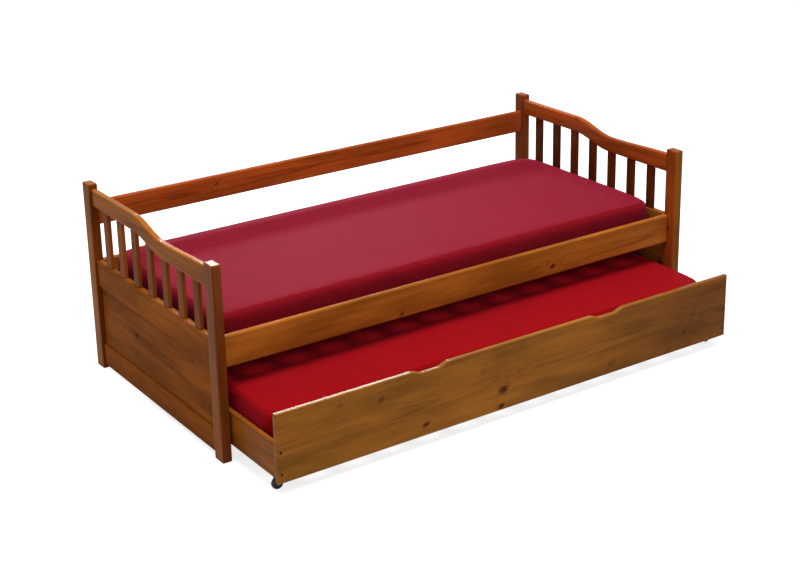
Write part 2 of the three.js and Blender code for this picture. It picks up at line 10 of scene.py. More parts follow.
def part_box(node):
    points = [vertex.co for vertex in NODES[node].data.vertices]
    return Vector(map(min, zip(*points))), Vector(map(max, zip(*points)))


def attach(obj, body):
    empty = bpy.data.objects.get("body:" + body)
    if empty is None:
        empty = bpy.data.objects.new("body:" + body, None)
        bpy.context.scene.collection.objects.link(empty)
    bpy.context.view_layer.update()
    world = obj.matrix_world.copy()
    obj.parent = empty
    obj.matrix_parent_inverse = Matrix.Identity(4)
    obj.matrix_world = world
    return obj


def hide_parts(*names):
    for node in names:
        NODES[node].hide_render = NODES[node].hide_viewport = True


bl_info = {
    "name": "Captains Bed",
    "version": (1, 0, 0),
    "blender": (4, 5, 0),
    "location": "3D View > Sidebar > Captains Bed",
    "description": "Stains the woodwork, sews the mattress covers and sets up the studio",
    "category": "Object",
}

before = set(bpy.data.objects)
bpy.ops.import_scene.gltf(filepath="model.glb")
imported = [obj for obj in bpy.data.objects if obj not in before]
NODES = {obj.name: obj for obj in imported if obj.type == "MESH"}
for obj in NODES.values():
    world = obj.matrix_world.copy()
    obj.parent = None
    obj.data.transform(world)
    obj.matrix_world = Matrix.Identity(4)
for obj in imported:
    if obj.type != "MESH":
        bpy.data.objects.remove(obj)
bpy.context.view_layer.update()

CASTORS = ("front_left", "front_right", "rear_left", "rear_right")
MM = 0.001


# Shader graphs

class Graph:
    """A node tree in the making: adds nodes, sets their sockets and joins them."""

    def __init__(self, tree):
        self.tree = tree

    def node(self, kind, inputs=None, **settings):
        made = self.tree.nodes.new(kind)
        for name, value in settings.items():
            setattr(made, name, value)
        for name, value in (inputs or {}).items():
            self.feed(made.inputs[name], value)
        return made

    def feed(self, socket, value):
        if isinstance(value, bpy.types.NodeSocket):
            self.tree.links.new(value, socket)
        else:
            socket.default_value = value

    def math(self, operation, *values, clamp=False):
        made = self.node("ShaderNodeMath", dict(enumerate(values)), operation=operation, use_clamp=clamp)
        return made.outputs[0]

    def vector(self, operation, *values):
        made = self.node("ShaderNodeVectorMath", dict(enumerate(values)), operation=operation)
        return made.outputs[0]

    def combine(self, x=0.0, y=0.0, z=0.0):
        return self.node("ShaderNodeCombineXYZ", {0: x, 1: y, 2: z}).outputs[0]

    def separate(self, vector):
        return self.node("ShaderNodeSeparateXYZ", {0: vector}).outputs

    def hypotenuse(self, a, b):
        """Length of a slope that runs a one way and b across it."""
        return self.math("SQRT", self.math("ADD", *(self.math("MULTIPLY", side, side) for side in (a, b))))

    def place(self):
        """Where the shaded point lies on its piece, in metres."""
        return self.node("ShaderNodeTexCoord").outputs["Object"]

    def noise(self, vector, detail=2.0, roughness=0.5):
        inputs = {"Vector": vector, "Scale": 1.0, "Detail": detail, "Roughness": roughness}
        return self.node("ShaderNodeTexNoise", inputs).outputs["Fac"]

    def stretch(self, vector, along, across):
        """The vector scaled for a texture that is longer one way than the others."""
        return self.vector("MULTIPLY", vector, (along, across, across))

    def range(self, value, low, high, to_low=0.0, to_high=1.0, smooth=True):
        inputs = {"Value": value, "From Min": low, "From Max": high, "To Min": to_low, "To Max": to_high}
        kind = "SMOOTHSTEP" if smooth else "LINEAR"
        return self.node("ShaderNodeMapRange", inputs, interpolation_type=kind, clamp=True).outputs[0]

    def mix(self, factor, a, b, blend="MIX"):
        made = self.node("ShaderNodeMix", data_type="RGBA", blend_type=blend)
        for index, value in ((0, factor), (6, a), (7, b)):
            self.feed(made.inputs[index], value)
        return made.outputs[2]

    def mix_value(self, factor, a, b):
        """A plain number between two others."""
        return self.node("ShaderNodeMix", {0: factor, 2: a, 3: b}, data_type="FLOAT").outputs[0]

    def scale(self, vector, factor):
        return self.node("ShaderNodeVectorMath", {0: vector, "Scale": factor}, operation="SCALE").outputs[0]

    def ramp(self, factor, stops):
        made = self.node("ShaderNodeValToRGB", {0: factor})
        elements = made.color_ramp.elements
        while len(elements) < len(stops):
            elements.new(0.5)
        for element, (place, value) in zip(elements, stops):
            element.position = place
            element.color = (value, value, value, 1.0)
        return made.outputs[0]

    def group(self, name, inputs):
        made = self.node("ShaderNodeGroup", node_tree=bpy.data.node_groups[name])
        for key, value in inputs.items():
            self.feed(made.inputs[key], value)
        return made.outputs


SOCKETS = {"float": "NodeSocketFloat", "vector": "NodeSocketVector", "color": "NodeSocketColor"}


def start_group(name, inputs, outputs):
    """A new shader node group: its graph, its input sockets by name and its output node."""
    tree = bpy.data.node_groups.new(name, "ShaderNodeTree")
    for key, (kind, default) in inputs.items():
        socket = tree.interface.new_socket(key, in_out="INPUT", socket_type=SOCKETS[kind])
        socket.default_value = default
    for key, kind in outputs.items():
        tree.interface.new_socket(key, in_out="OUTPUT", socket_type=SOCKETS[kind])
    graph = Graph(tree)
    source = graph.node("NodeGroupInput").outputs
    return graph, source, graph.node("NodeGroupOutput").inputs


def start_material(name, **shader):
    """A new material: its graph and its Principled shader, with plain values set on its sockets."""
    material = bpy.data.materials.new(name)
    material.use_nodes = True
    material.node_tree.nodes.clear()
    graph = Graph(material.node_tree)
    principled = graph.node("ShaderNodeBsdfPrincipled", shader)
    out = graph.node("ShaderNodeOutputMaterial")
    graph.tree.links.new(principled.outputs[0], out.inputs[0])
    return material, graph, principled


def raise_surface(graph, principled, height, depth):
    """Feeds the shader's normal from a height of the given depth in metres."""
    bump = graph.node("ShaderNodeBump", {"Height": height, "Strength": 1.0, "Distance": depth})
    graph.tree.links.new(bump.outputs[0], principled.inputs["Normal"])


# Effects that several materials share

def build_knot_group():
    """One branch knot that runs through a board at a chosen place."""
    g, source, out = start_group(
        "Placed knot",
        {"Position": ("vector", (0, 0, 0)), "Along": ("float", 0.0), "Across": ("float", 0.0),
         "Radius": ("float", 0.01), "Strength": ("float", 1.0), "Bump": ("float", 0.0),
         "Knot": ("float", 0.0)},
        {"Bump": "float", "Knot": "float"})
    u, v, _ = g.separate(source["Position"])
    along = g.math("SUBTRACT", u, source["Along"])
    across = g.math("SUBTRACT", v, source["Across"])
    share = knot_share(g, source["Position"], along, across, source["Radius"])
    knot_spread(g, source, out, share, source["Radius"], source["Strength"])


def knot_share(g, position, along, across, radius):
    """Distance from a knot's heart as a share of its radius: a slanted lens with a ragged outline."""
    slanted = g.math("MULTIPLY_ADD", along, -0.25, across)
    distance = g.hypotenuse(g.math("DIVIDE", along, 1.45), slanted)
    ragged = g.math("SUBTRACT", g.noise(g.stretch(position, 50.0, 150.0), 3.0, 0.6), 0.5)
    return g.math("MULTIPLY_ADD", ragged, 1.5, g.math("DIVIDE", distance, radius))


def knot_spread(g, source, out, share, radius, strength):
    """How a knot at a distance, as a share of its radius, bends the grain and shows."""
    spread = g.math("DIVIDE", share, 2.6)
    fall = g.math("EXPONENT", g.math("MULTIPLY", g.math("MULTIPLY", spread, spread), -1.0))
    bump = g.math("MULTIPLY", g.math("MULTIPLY", fall, radius), 1.5)
    g.feed(out["Bump"], g.math("ADD", source["Bump"], bump))
    shown = g.math("MULTIPLY", g.range(share, 1.7, 0.3), strength)
    g.feed(out["Knot"], g.math("MAXIMUM", source["Knot"], shown))


def build_scattered_knots_group():
    """Knots strewn over a board by chance: at most one to a cell, each with its own size."""
    g, source, out = start_group(
        "Scattered knots",
        {"Position": ("vector", (0, 0, 0)), "Spacing": ("float", 0.3), "Share": ("float", 0.5),
         "Bump": ("float", 0.0), "Knot": ("float", 0.0)},
        {"Bump": "float", "Knot": "float"})
    u, v, _ = g.separate(source["Position"])
    wide = g.math("MULTIPLY", source["Spacing"], 0.5)
    cell_at = g.combine(g.math("DIVIDE", u, source["Spacing"]), g.math("DIVIDE", v, wide))
    cells = g.node("ShaderNodeTexVoronoi", {"Vector": cell_at, "Scale": 1.0}, voronoi_dimensions="2D")
    away = g.vector("SUBTRACT", cell_at, cells.outputs["Position"])
    away_u, away_v, _ = g.separate(away)
    along = g.math("MULTIPLY", away_u, source["Spacing"])
    across = g.math("MULTIPLY", away_v, wide)
    chance = g.node("ShaderNodeSeparateColor", {0: cells.outputs["Color"]}).outputs
    present = g.math("LESS_THAN", chance[1], source["Share"])
    size = g.math("MULTIPLY", g.range(chance[0], 0.0, 1.0, 4 * MM, 10 * MM), present)
    radius = g.math("MAXIMUM", size, 0.01 * MM)
    share = knot_share(g, source["Position"], along, across, radius)
    knot_spread(g, source, out, share, radius, g.range(chance[2], 0.0, 1.0, 0.4, 0.9))


def build_pine_group():
    """Flat-sawn pine: growth rings round a pith below the board, streaks, fibre and knots."""
    g, source, out = start_group(
        "Pine grain",
        {"Position": ("vector", (0, 0, 0)), "Early": ("color", (1, 1, 1, 1)),
         "Late": ("color", (1, 1, 1, 1)), "Knot Colour": ("color", (0, 0, 0, 1)),
         "Ring": ("float", 4 * MM), "Pith": ("float", 0.07), "Drift": ("float", 0.01),
         "Bump": ("float", 0.0), "Knot": ("float", 0.0), "Blotch": ("float", 0.25),
         "End Darkening": ("float", 0.0)},
        {"Color": "color", "Roughness": "float", "Height": "float"})
    place = source["Position"]
    u, v, w = g.separate(place)
    sway = g.math("MULTIPLY", g.math("SUBTRACT", g.noise(g.stretch(place, 1.1, 4.0), 1.0), 0.5), 26 * MM)
    ripple = g.math("MULTIPLY", g.math("SUBTRACT", g.noise(g.stretch(place, 9.0, 32.0)), 0.5), 2.4 * MM)
    from_pith = g.hypotenuse(g.math("ADD", v, source["Drift"]), g.math("ADD", w, source["Pith"]))
    taper = g.math("MULTIPLY", u, 0.006)
    bend = g.math("ADD", g.math("ADD", sway, ripple), g.math("ADD", source["Bump"], taper))
    years = g.math("DIVIDE", g.math("ADD", from_pith, bend), source["Ring"])
    uneven = g.noise(g.combine(g.math("MULTIPLY", years, 0.37), 3.1, 7.7), 1.0)
    years = g.math("ADD", years, g.math("MULTIPLY", uneven, 1.6))
    late = g.ramp(g.math("FRACT", years), ((0.0, 0.12), (0.45, 0.1), (0.84, 1.0), (0.93, 0.8), (1.0, 0.12)))
    strength = g.noise(g.combine(g.math("FLOOR", years), 9.3, 1.7), 0.0)
    late = g.math("MULTIPLY", late, g.range(strength, 0.3, 0.7, 0.35, 1.0))
    streak = g.range(g.noise(g.stretch(place, 1.3, 26.0), 3.0), 0.34, 0.68)
    fibre = g.noise(g.stretch(place, 22.0, 900.0), 2.0, 0.6)
    blotch = g.range(g.noise(g.stretch(place, 2.6, 13.0), 3.0, 0.6), 0.3, 0.7, -1.0, 1.0)

    dark = g.math("ADD", g.math("MULTIPLY", late, 0.52), g.math("MULTIPLY", streak, 0.26))
    dark = g.math("ADD", dark, source["End Darkening"])
    dark = g.math("ADD", dark, g.math("MULTIPLY", g.math("SUBTRACT", fibre, 0.5), 0.3), clamp=True)
    color = g.mix(dark, source["Early"], source["Late"])
    reddened = g.ramp(source["Knot"], ((0.0, 0.0), (0.5, 0.4), (1.0, 0.85)))
    color = g.mix(reddened, color, g.scale(source["Late"], 0.75))
    color = g.mix(g.range(source["Knot"], 0.5, 0.95, 0.0, 0.85), color, source["Knot Colour"])
    shade = g.math("MULTIPLY_ADD", blotch, source["Blotch"], 1.0)
    g.feed(out["Color"], g.scale(color, shade))
    g.feed(out["Roughness"], g.range(dark, 0.0, 1.0, 0.22, 0.17, smooth=False))
    relief = g.math("ADD", g.math("MULTIPLY", late, 0.6), g.math("MULTIPLY", fibre, 0.5))
    g.feed(out["Height"], g.math("ADD", relief, g.math("MULTIPLY", source["Knot"], 0.8)))


def build_glued_board_group():
    """Strips glued edge to edge: shifts the grain from strip to strip and marks the joints."""
    g, source, out = start_group(
        "Glued strips",
        {"Position": ("vector", (0, 0, 0)), "Width": ("float", 0.07), "Shift": ("float", 0.0)},
        {"Position": "vector", "Joint": "float", "Tone": "float"})
    u, v, w = g.separate(source["Position"])
    strips = g.math("DIVIDE", g.math("ADD", v, source["Shift"]), source["Width"])
    index = g.math("FLOOR", strips)
    chance = g.node("ShaderNodeTexWhiteNoise", {"W": index}, noise_dimensions="1D").outputs["Value"]
    g.feed(out["Position"], g.combine(g.math("MULTIPLY_ADD", chance, 9.0, u), g.math(
        "MULTIPLY_ADD", chance, 0.05, v), g.math("MULTIPLY_ADD", index, 0.11, w)))
    edge = g.math("ABSOLUTE", g.math("SUBTRACT", g.math("FRACT", strips), 0.5))
    g.feed(out["Joint"], g.range(edge, 0.485, 0.5))
    g.feed(out["Tone"], chance)


def build_edge_wear_and_highlight_group():
    """Where an edge is paler, partly from wear and partly as a painted highlight: one on the edge itself,
    falling to nothing on the flat.
    """
    g, source, out = start_group("Edge wear and painted highlight", {"Reach": ("float", 2 * MM)}, {"Edge": "float"})
    rounded = g.node("ShaderNodeBevel", {"Radius": source["Reach"]}, samples=4).outputs[0]
    flat = g.node("ShaderNodeNewGeometry").outputs["Normal"]
    match = g.node("ShaderNodeVectorMath", {0: rounded, 1: flat}, operation="DOT_PRODUCT").outputs["Value"]
    breakup = g.noise(g.stretch(g.place(), 40.0, 40.0), 3.0)
    worn = g.math("MULTIPLY", g.range(match, 0.995, 0.9), g.range(breakup, 0.3, 0.6, 0.5, 1.0))
    g.feed(out["Edge"], worn)


def build_weave_group():
    """Plain cotton weave on any face of a cover, with slubs and soft clouds."""
    g, source, out = start_group(
        "Cotton weave", {"Thread": ("float", 0.6 * MM)},
        {"Height": "float", "Slub": "float", "Cloud": "float"})
    coordinates = g.node("ShaderNodeTexCoord").outputs
    x, y, z = g.separate(coordinates["Object"])
    nx, ny, nz = (g.math("ABSOLUTE", part) for part in g.separate(coordinates["Normal"]))
    on_top = g.math("GREATER_THAN", nz, g.math("MAXIMUM", nx, ny))
    on_end = g.math("GREATER_THAN", nx, g.math("MAXIMUM", ny, nz))
    across = g.mix_value(on_top, z, y)
    along = g.mix_value(on_end, x, y)
    turn = g.math("DIVIDE", 2 * math.pi, source["Thread"])
    warp = g.math("SINE", g.math("MULTIPLY", along, turn))
    weft = g.math("SINE", g.math("MULTIPLY", across, turn))
    g.feed(out["Height"], g.math("MULTIPLY", warp, weft))
    slub = g.noise(g.combine(g.math("MULTIPLY", along, 45.0), g.math("MULTIPLY", across, 700.0), 0.0), 2.0)
    g.feed(out["Slub"], g.range(slub, 0.35, 0.7))
    g.feed(out["Cloud"], g.noise(g.stretch(coordinates["Object"], 5.0, 7.0), 3.0))


# Settings

class WoodSettings(bpy.types.PropertyGroup):
    """Stain and varnish of the pine."""

    early: bpy.props.FloatVectorProperty(
        name="Stain", description="Stained pine between the growth lines", subtype="COLOR", size=3,
        default=(0.40, 0.145, 0.016), min=0.0, max=1.0)
    late: bpy.props.FloatVectorProperty(
        name="Growth Line", description="Stained pine on the growth lines", subtype="COLOR", size=3,
        default=(0.20, 0.058, 0.006), min=0.0, max=1.0)
    red_early: bpy.props.FloatVectorProperty(
        name="Red Stain", description="Redder boards between the growth lines", subtype="COLOR", size=3,
        default=(0.36, 0.070, 0.011), min=0.0, max=1.0)
    red_late: bpy.props.FloatVectorProperty(
        name="Red Growth Line", description="Redder boards on the growth lines", subtype="COLOR", size=3,
        default=(0.15, 0.023, 0.005), min=0.0, max=1.0)
    plain_early: bpy.props.FloatVectorProperty(
        name="Plain Pine", description="Unstained pine between the growth lines", subtype="COLOR", size=3,
        default=(0.62, 0.42, 0.22), min=0.0, max=1.0)
    plain_late: bpy.props.FloatVectorProperty(
        name="Plain Growth Line", description="Unstained pine on the growth lines", subtype="COLOR", size=3,
        default=(0.42, 0.23, 0.09), min=0.0, max=1.0)
    knot: bpy.props.FloatVectorProperty(
        name="Knot", description="Heart of a knot", subtype="COLOR", size=3,
        default=(0.075, 0.014, 0.003), min=0.0, max=1.0)
    ring: bpy.props.FloatProperty(
        name="Ring Width", description="Mean width of one year's growth", default=5.0 * MM,
        min=0.5 * MM, unit="LENGTH")
    rounding: bpy.props.FloatProperty(
        name="Sanded Edge", description="Radius that sanding gives to each edge", default=1.2 * MM,
        min=0.1 * MM, unit="LENGTH")
    gloss: bpy.props.FloatProperty(
        name="Gloss", description="Strength of the varnish's shine", default=0.025, min=0.0, max=1.0,
        subtype="FACTOR")


class CoverSettings(bpy.types.PropertyGroup):
    """Cut and cloth of the mattress covers."""

    # Painted sheen: part of the blue in the bed cover's colour stands for the sheen of its cloth.
    cotton: bpy.props.FloatVectorProperty(
        name="Cotton", description="Colour of the bed's cover, its blue partly painted sheen", subtype="COLOR",
        size=3, default=(0.26, 0.0055, 0.0095), min=0.0, max=1.0)
    # Painted light: the trundle's cover is a lighter red than the bed's, to make up for the shade that the
    # bed casts on it.
    trundle_cotton_painted_lighter: bpy.props.FloatVectorProperty(
        name="Trundle Cotton", description="Colour of the trundle's cover, painted lighter against the shade of the bed",
        subtype="COLOR", size=3, default=(0.36, 0.0038, 0.0042), min=0.0, max=1.0)
    cell: bpy.props.FloatProperty(
        name="Cell", description="Mesh size on the flat of the cover", default=15 * MM, min=4 * MM,
        unit="LENGTH")
    pucker: bpy.props.FloatProperty(
        name="Pucker", description="Depth of the gathers beside a seam", default=1.1 * MM, min=0.0,
        unit="LENGTH")
    slack: bpy.props.FloatProperty(
        name="Slack", description="Height of the soft folds over the foam", default=1.4 * MM, min=0.0,
        unit="LENGTH")
    ease: bpy.props.FloatProperty(
        name="Ease", description="How much larger than the foam the cloth was cut", default=0.012, min=0.0,
        subtype="FACTOR")
    pressure: bpy.props.FloatProperty(
        name="Pressure", description="How hard the foam pushes the cloth out", default=1.0, min=0.0)
    reach: bpy.props.FloatProperty(
        name="Reach", description="How far the cloth may billow", default=1.2 * MM, min=0.0, unit="LENGTH")


class HardwareSettings(bpy.types.PropertyGroup):
    """Screws and plugs."""

    plug_radius: bpy.props.FloatProperty(
        name="Plug Radius", description="Radius of a wooden screw plug", default=5 * MM, min=1 * MM,
        unit="LENGTH")
    screw_radius: bpy.props.FloatProperty(
        name="Screw Head Radius", description="Radius of a castor screw's head", default=3.5 * MM,
        min=1 * MM, unit="LENGTH")


class StageSettings(bpy.types.PropertyGroup):
    """Where the camera stands and how it looks."""

    camera_place: bpy.props.FloatVectorProperty(
        name="Camera Place", description="Where the camera stands", size=3, subtype="TRANSLATION",
        default=(-3.0628, -4.4235, 2.4195), unit="LENGTH")
    yaw: bpy.props.FloatProperty(
        name="Yaw", description="Turn of the camera from +Y towards +X", default=math.radians(34.163),
        subtype="ANGLE")
    pitch: bpy.props.FloatProperty(
        name="Pitch", description="Tilt of the camera above level", default=math.radians(-18.803),
        subtype="ANGLE")
    roll: bpy.props.FloatProperty(
        name="Roll", description="Roll of the camera about its line of sight",
        default=math.radians(-1.138), subtype="ANGLE")
    lens: bpy.props.FloatProperty(
        name="Lens", description="Focal length in millimetres", default=70.88, min=10.0)
    lens_drop: bpy.props.FloatProperty(
        name="Lens Drop", description="Vertical lens shift", default=-0.1)


# Boards

SLATTED = ("bed_slat_base", "trundle_slat_base")


def board_axes(node):
    """The axes that a board's grain, wide face and thickness run along, and its middle."""
    low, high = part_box(node)
    size = high - low
    order = sorted(range(3), key=lambda axis: -size[axis])
    if node in SLATTED:
        order = [1, 0, 2]
    return order, (low + high) / 2


def board_place(graph, node, seed):
    """Board coordinates of the shaded point: along the grain, across the face and through it."""
    order, middle = board_axes(node)
    place = graph.place()
    parts = graph.separate(graph.vector("SUBTRACT", place, tuple(middle)))
    turned = graph.combine(*(parts[axis] for axis in order))
    return turned, graph.vector("ADD", turned, (seed * 3.7, 0.0, 0.0))


# Knots that the front boards show: along the board, above its middle, radius in metres, and strength
TRUNDLE_KNOTS = (
    (-0.730, 0.086, 0.008, 0.55), (-0.577, 0.059, 0.010, 0.7), (-0.402, -0.080, 0.009, 1.0),
    (-0.082, -0.044, 0.016, 1.0), (-0.169, 0.043, 0.010, 0.5), (-0.092, -0.104, 0.010, 1.0),
    (0.400, -0.086, 0.012, 0.6), (0.752, -0.050, 0.007, 1.0), (0.790, 0.008, 0.011, 0.5),
)
RAIL_KNOTS = ((0.400, -0.021, 0.009, 0.95), (-0.268, -0.040, 0.008, 0.75))
PLACED_KNOTS = {"trundle_front_board": TRUNDLE_KNOTS, "front_side_rail": RAIL_KNOTS}

PLAIN_WORDS = ("slat_base", "cleat", "block")

# How red a board took the stain, from 0 to 1, and how dark or light it came out. The high redness of the
# right-end entries, whose inner faces are in view, is partly painted light: the red glow that the mattress
# throws onto that end.
STAINS_AND_PAINTED_BOUNCE = {
    # Right-end redness: partly stain, partly painted red light bounced from the mattress.
    "right_front_post": (0.95, 0.95), "right_rear_post": (0.9, 0.7), "left_rear_post": (0.2, 1.0),
    "post": (0.5, 0.95), "right_top_rail": (1.0, 1.1), "top_rail": (0.35, 1.1), "mid_rail": (0.48, 0.98),
    "bottom_rail": (0.5, 0.95), "panel": (0.47, 0.98), "right_slat": (1.0, 0.34), "slat": (0.6, 0.8),
    "back_rail": (1.0, 1.22), "side_rail": (0.4, 1.22), "front_board": (0.0, 0.95), "board": (0.35, 1.0),
}
# The same for the front face of a post, as painted shade: its darker colours stand for the shade that falls
# on that face
FRONT_FACE_PAINTED_SHADE = {"right_front_post": (0.2, 0.8), "post": (0.8, 0.68)}


def stain_of(node, stains):
    """Redness and tone of a stained board, from the first entry that its name holds."""
    return next((stain for word, stain in stains.items() if word in node), None)


def stained(stain):
    """Colours of stained pine between the growth lines and on them."""
    wood = bpy.context.scene.bed_wood
    redness, tone = stain
    early = Vector(wood.early).lerp(Vector(wood.red_early), redness) * tone
    late = Vector(wood.late).lerp(Vector(wood.red_late), redness) * tone
    return (*early, 1.0), (*late, 1.0)


# Boards that come out darker towards one end: how much darker, and where along it starts and is full
END_DARKENING = {"trundle_front_board": (0.6, 0.15, 0.85)}
# How far the grain stands out of the surface
PLAIN_RELIEF = 0.2 * MM
VARNISHED_RELIEF = 0.015 * MM
# Share of the varnish's shine that a board has, and how far its edges are painted pale: partly wear, partly
# a painted highlight along the edge
USUAL_FINISH_AND_EDGE_HIGHLIGHT = (1.0, 0.6)
FINISHES_AND_EDGE_HIGHLIGHTS = {
    "_panel": (0.2, 0.15), "_mid_rail": (0.2, 0.35), "_bottom_rail": (0.2, 0.15),
    "trundle_front_board": (2.5, 0.6), "left_front_post": (1.8, 0.6),
}


def end_darkening(graph, node, place):
    """How much darker a board comes out at the shaded point, towards one end."""
    if node not in END_DARKENING:
        return 0.0
    share, start, end = END_DARKENING[node]
    return graph.range(graph.separate(place)[0], start, end, 0.0, share)


def pine_material(node, seed):
    """Stained or plain pine for one board, with the board's own run of grain."""
    wood = bpy.context.scene.bed_wood
    plain = any(word in node for word in PLAIN_WORDS)
    shine, edge_wear_and_highlight = next((finish for word, finish in FINISHES_AND_EDGE_HIGHLIGHTS.items() if node.endswith(word)), USUAL_FINISH_AND_EDGE_HIGHLIGHT)
    material, graph, shader = start_material(f"pine_{node}", **{"Specular IOR Level": wood.gloss * shine})
    true_place, place = board_place(graph, node, seed)
    knots = {"Bump": 0.0, "Knot": 0.0}
    for along, across, radius, strength in PLACED_KNOTS.get(node, ()):
        made = graph.group("Placed knot", {
            "Position": true_place, "Along": along, "Across": across, "Radius": radius,
            "Strength": strength, **knots})
        knots = {"Bump": made["Bump"], "Knot": made["Knot"]}
    if node not in PLACED_KNOTS:
        made = graph.group("Scattered knots", {"Position": place, "Share": 0.45, **knots})
        knots = {"Bump": made["Bump"], "Knot": made["Knot"]}
    strips = None
    if node.endswith("_panel"):
        strips = graph.group("Glued strips", {"Position": place, "Width": 0.062, "Shift": 0.02})
        place = strips["Position"]
    if plain:
        early, late = (*wood.plain_early, 1.0), (*wood.plain_late, 1.0)
    else:
        early, late = stained(stain_of(node, STAINS_AND_PAINTED_BOUNCE))
    # Painted shade: the front face of a post, facing -Y, is mixed towards darker stain colours than its
    # sides.
    early_with_front_shade, late_with_front_shade = early, late
    front_shade_stain = stain_of(node, FRONT_FACE_PAINTED_SHADE)
    if front_shade_stain:
        facing = graph.separate(graph.node("ShaderNodeTexCoord").outputs["Normal"])[1]
        front = graph.range(facing, -0.6, -0.8)
        shaded_front_early, shaded_front_late = stained(front_shade_stain)
        early_with_front_shade = graph.mix(front, early, shaded_front_early)
        late_with_front_shade = graph.mix(front, late, shaded_front_late)
    grain = graph.group("Pine grain", {
        "Position": place, "Early": early_with_front_shade, "Late": late_with_front_shade, "Knot Colour": (*wood.knot, 1.0),
        "Ring": wood.ring, "Pith": 0.05 + 0.05 * math.sin(seed * 2.3) ** 2,
        "Drift": 0.03 * math.sin(seed * 5.1), "End Darkening": end_darkening(graph, node, true_place), **knots})
    color = grain["Color"]
    if strips:
        shade = graph.range(strips["Tone"], 0.0, 1.0, 0.86, 1.1, smooth=False)
        toned = graph.scale(color, shade)
        color = graph.mix(graph.math("MULTIPLY", strips["Joint"], 0.55), toned, late)
    edge = graph.group("Edge wear and painted highlight", {})["Edge"]
    # Partly wear, partly painted highlight: edges are mixed towards a much lighter stain, as if light
    # caught them.
    edge_wear_and_highlight_colour = tuple(min(1.0, part * 1.8) for part in early[:3])
    color = graph.mix(graph.math("MULTIPLY", edge, edge_wear_and_highlight), color, (*edge_wear_and_highlight_colour, 1.0))
    graph.feed(shader.inputs["Base Color"], color)
    graph.feed(shader.inputs["Roughness"], grain["Roughness"])
    raise_surface(graph, shader, grain["Height"], PLAIN_RELIEF if plain else VARNISHED_RELIEF)
    return material


# Tapes of a slat base: how far each lies from the middle, half its width and its thickness
TAPE_PLACE = 260 * MM
TAPE_HALF = 15.1 * MM
TAPE_THICK = 3.1 * MM
RIB_PITCH = 2.2 * MM


def add_tapes(node):
    """Paints the webbing tapes that hold the slats of a base apart."""
    low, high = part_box(node)
    middle = (low + high) / 2
    tree = NODES[node].material_slots[0].material.node_tree
    shader = next(part for part in tree.nodes if part.type == "BSDF_PRINCIPLED")
    graph = Graph(tree)
    x, y, z = graph.separate(graph.place())
    beside = graph.math("ABSOLUTE", graph.math("SUBTRACT", y, middle.y))
    off_line = graph.math("ABSOLUTE", graph.math("SUBTRACT", beside, TAPE_PLACE))
    tape = graph.math("MULTIPLY", graph.math("LESS_THAN", off_line, TAPE_HALF), graph.math(
        "GREATER_THAN", z, high.z - TAPE_THICK))
    ribs = graph.math("SINE", graph.math("MULTIPLY", x, 2 * math.pi / RIB_PITCH))
    webbing = graph.mix(graph.range(ribs, -1.0, 1.0), (0.42, 0.40, 0.35, 1.0), (0.60, 0.58, 0.52, 1.0))
    wood = shader.inputs["Base Color"].links[0].from_socket
    graph.feed(shader.inputs["Base Color"], graph.mix(tape, wood, webbing))
    gloss = shader.inputs["Roughness"].links[0].from_socket
    graph.feed(shader.inputs["Roughness"], graph.mix_value(tape, gloss, 0.9))


def round_edges(node, radius):
    """Rounds a CAD board's edges with modifiers, leaving its mesh as it is."""
    obj = NODES[node]
    weld = obj.modifiers.new("weld", "WELD")
    weld.merge_threshold = 0.01 * MM
    bevel = obj.modifiers.new("sanded_edge", "BEVEL")
    bevel.width = radius
    bevel.segments = 2
    bevel.limit_method = "ANGLE"
    bevel.angle_limit = math.radians(20)
    bevel.use_clamp_overlap = True
    normals = obj.modifiers.new("flat_faces", "WEIGHTED_NORMAL")
    normals.keep_sharp = False
    normals.weight = 100


def dress(node, material):
    """Gives a CAD node its finished material."""
    obj = NODES[node]
    for index in range(len(obj.material_slots)):
        obj.material_slots[index].material = material


def wooden_nodes():
    """Every board of the bed, in the order of their names."""
    metal_or_cloth = ("castor", "mattress")
    return [name for name in sorted(NODES) if not any(word in name for word in metal_or_cloth)]


# New pieces

def new_piece(name, vertices, faces, material, body, smooth=True):
    """A mesh piece that rides on a CAD body."""
    mesh = bpy.data.meshes.new(name)
    mesh.from_pydata(vertices, [], faces)
    mesh.materials.append(material)
    mesh.polygons.foreach_set("use_smooth", [smooth] * len(mesh.polygons))
    mesh.update()
    obj = bpy.data.objects.new(name, mesh)
    bpy.context.scene.collection.objects.link(obj)
    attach(obj, body)
    return obj


# Mattress covers

# Section of a cover from the floor side up: inset of the outline and height, as the foam holds it
BAND = (
    (0.0050, 0.0030), (0.0018, 0.0100), (0.0004, 0.0220), (0.0, 0.0350), (0.0, 0.0490), (0.0002, 0.0640),
    (0.0007, 0.0780), (0.0020, 0.0870), (0.0045, 0.0932), (0.0085, 0.0970),
)
TOP_SEAM = (0.0130, 0.0990)
SHOULDER = ((0.0175, 0.1001), (0.0250, 0.1006), (0.0380, 0.1010), (0.0560, 0.1012), (0.0800, 0.1013))
INNER_RIM = 0.096  # inset at which the even cells of the top begin
CROWN = 0.0015
PLAN_RADIUS = 0.06
DROOP = 0.05  # share of its height that the cover sinks at its corners
DROOP_REACH = 0.09


def spacing(half, cell, rim):
    """Places from -half to half: even cells inside, and the rim's own places near both ends."""
    inner = half - rim[-1]
    count = max(2, round(2 * inner / cell))
    middle = [-inner + 2 * inner * i / count for i in range(count + 1)]
    low = [-half + step for step in rim[:-1]]
    return low + middle + [-place for place in reversed(low)]


